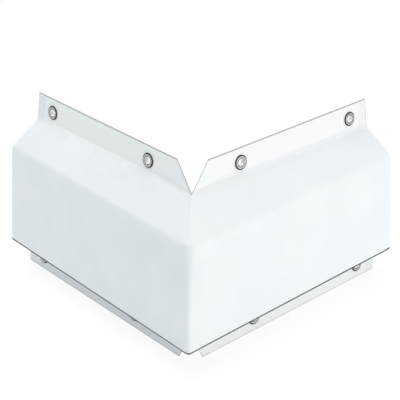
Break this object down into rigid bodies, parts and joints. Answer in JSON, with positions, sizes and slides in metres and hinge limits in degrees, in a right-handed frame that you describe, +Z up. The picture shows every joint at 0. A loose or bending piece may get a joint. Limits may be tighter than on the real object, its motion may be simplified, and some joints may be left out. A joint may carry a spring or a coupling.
{
  "type": "contour boat fender",
  "caption": "Right-angled contour boat fender: a foam pad in white vinyl with a bevelled top edge, and a flange above and below with eyelets to lace or screw it to a bow or a dock's corner.",
  "frame": {"origin": "middle of the bounding box's base, on the plane that the lower flange's edge stands on", "axes": "+Z up; the right arm runs along +X and the left arm along +Y; the ridge points to -X -Y, away from what the fender is fixed to"},
  "size_m": [0.4622, 0.4622, 0.307],
  "materials": {
    "white_vinyl": "satin marine vinyl",
    "closed_cell_foam": "cut closed-cell foam",
    "bright_steel": "polished pressed steel"
  },
  "bodies": {
    "root": {"outer_cover": "white_vinyl", "back_panel": "white_vinyl", "end_panel_left": "white_vinyl", "end_panel_right": "white_vinyl", "foam_core_left": "closed_cell_foam", "foam_core_right": "closed_cell_foam", "grommet_upper_left_end": "bright_steel", "grommet_upper_left_inner": "bright_steel", "grommet_upper_right_inner": "bright_steel", "grommet_upper_right_end": "bright_steel", "grommet_lower_left_end": "bright_steel", "grommet_lower_left_inner": "bright_steel", "grommet_lower_right_inner": "bright_steel", "grommet_lower_right_end": "bright_steel", "washer_upper_left_end": "bright_steel", "washer_upper_left_inner": "bright_steel", "washer_upper_right_inner": "bright_steel", "washer_upper_right_end": "bright_steel", "washer_lower_left_end": "bright_steel", "washer_lower_left_inner": "bright_steel", "washer_lower_right_inner": "bright_steel", "washer_lower_right_end": "bright_steel"}
  },
  "joints": []
}
